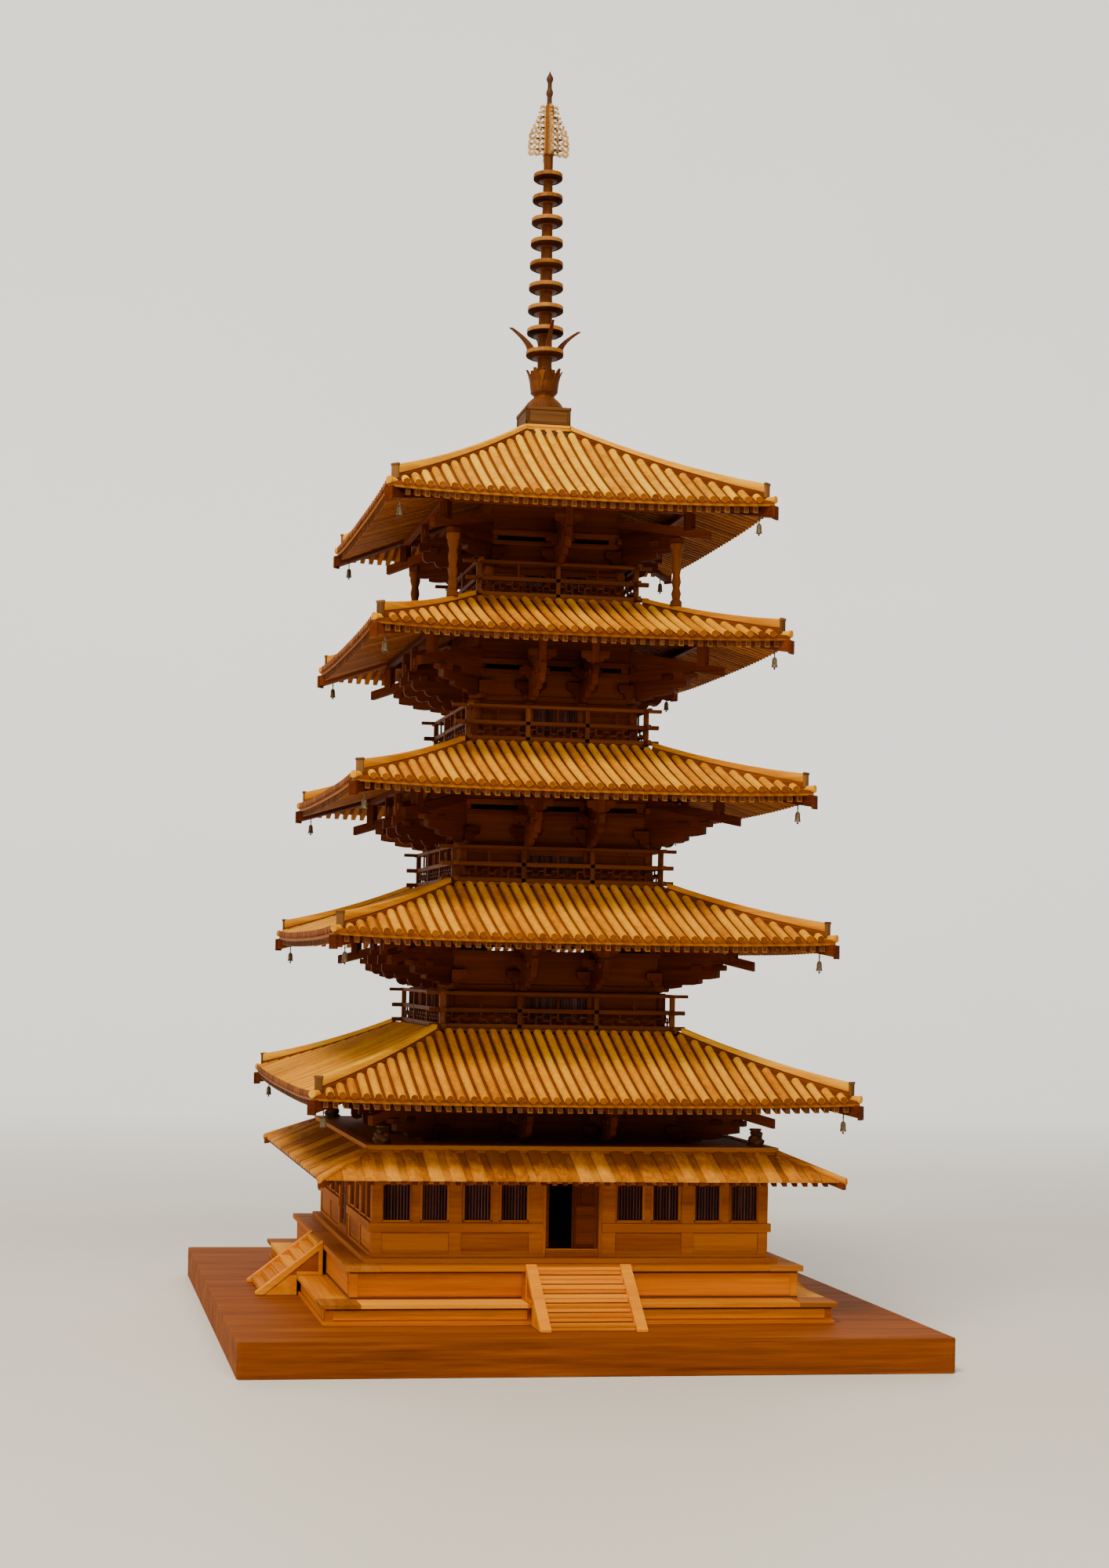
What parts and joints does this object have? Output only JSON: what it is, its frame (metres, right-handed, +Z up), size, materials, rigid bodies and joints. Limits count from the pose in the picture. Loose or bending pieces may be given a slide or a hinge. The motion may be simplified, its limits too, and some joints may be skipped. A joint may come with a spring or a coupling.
{
  "type": "model pagoda",
  "caption": "Wooden display model of a tall pagoda: curved roofs, railed balconies, ringed spire, barred ground storey with hinged front doors, podium with stairs, base board.",
  "frame": {"origin": "centre of the underside of the base board", "axes": "+Z up, -Y towards the front with the hinged doors, +X to the right seen from the front"},
  "size_m": [0.68, 0.68, 1.339],
  "materials": {
    "base_wood": "satin varnish over brown wood with a fine straight grain",
    "podium_wood": "satin oiled orange-brown wood",
    "stair_wood": "matt tan wood",
    "wall_wood": "satin mid-brown wood",
    "roof_wood": "satin honey-coloured wood",
    "skirt_board_wood": "satin honey-brown boards",
    "bracket_wood": "matt dark red-brown wood",
    "spire_wood": "satin turned brown wood"
  },
  "bodies": {
    "pagoda": {"balcony_2": "bracket_wood", "balcony_3": "bracket_wood", "balcony_4": "bracket_wood", "balcony_5": "bracket_wood", "base_board": "base_wood", "brackets_1": "bracket_wood", "brackets_2": "bracket_wood", "brackets_3": "bracket_wood", "brackets_4": "bracket_wood", "brackets_5": "bracket_wood", "doors_back": "wall_wood", "doors_left": "wall_wood", "doors_right": "wall_wood", "eaves_1": "bracket_wood", "eaves_2": "bracket_wood", "eaves_3": "bracket_wood", "eaves_4": "bracket_wood", "eaves_5": "bracket_wood", "ground_floor": "stair_wood", "lower_podium": "podium_wood", "roof_1": "roof_wood", "roof_2": "roof_wood", "roof_3": "roof_wood", "roof_4": "roof_wood", "roof_5": "roof_wood", "skirt_roof": "skirt_board_wood", "skirt_roof_deck": "stair_wood", "skirt_wall_back_a": "wall_wood", "skirt_wall_back_b": "wall_wood", "skirt_wall_front_a": "wall_wood", "skirt_wall_front_b": "wall_wood", "skirt_wall_left_a": "wall_wood", "skirt_wall_left_b": "wall_wood", "skirt_wall_plate": "wall_wood", "skirt_wall_right_a": "wall_wood", "skirt_wall_right_b": "wall_wood", "spire_box": "spire_wood", "spire_dome": "spire_wood", "spire_flame": "spire_wood", "spire_jewels": "spire_wood", "spire_rings": "spire_wood", "stair_back": "stair_wood", "stair_front": "stair_wood", "stair_left": "stair_wood", "stair_right": "stair_wood", "storey_1_walls": "wall_wood", "storey_2_walls": "wall_wood", "storey_3_walls": "wall_wood", "storey_4_walls": "wall_wood", "storey_5_walls": "wall_wood", "upper_podium": "podium_wood"},
    "door_left": {"door_leaf_left": "wall_wood"},
    "door_right": {"door_leaf_right": "wall_wood"}
  },
  "joints": [
    {"name": "door_left_hinge", "type": "hinge", "parent": "pagoda", "child": "door_left", "pos_m": [-0.026, -0.1933, 0.099], "axis": [0, 0, 1], "range_deg": [-90, 0]},
    {"name": "door_right_hinge", "type": "hinge", "parent": "pagoda", "child": "door_right", "pos_m": [0.026, -0.1933, 0.099], "axis": [0, 0, 1], "range_deg": [-90, 0]}
  ]
}
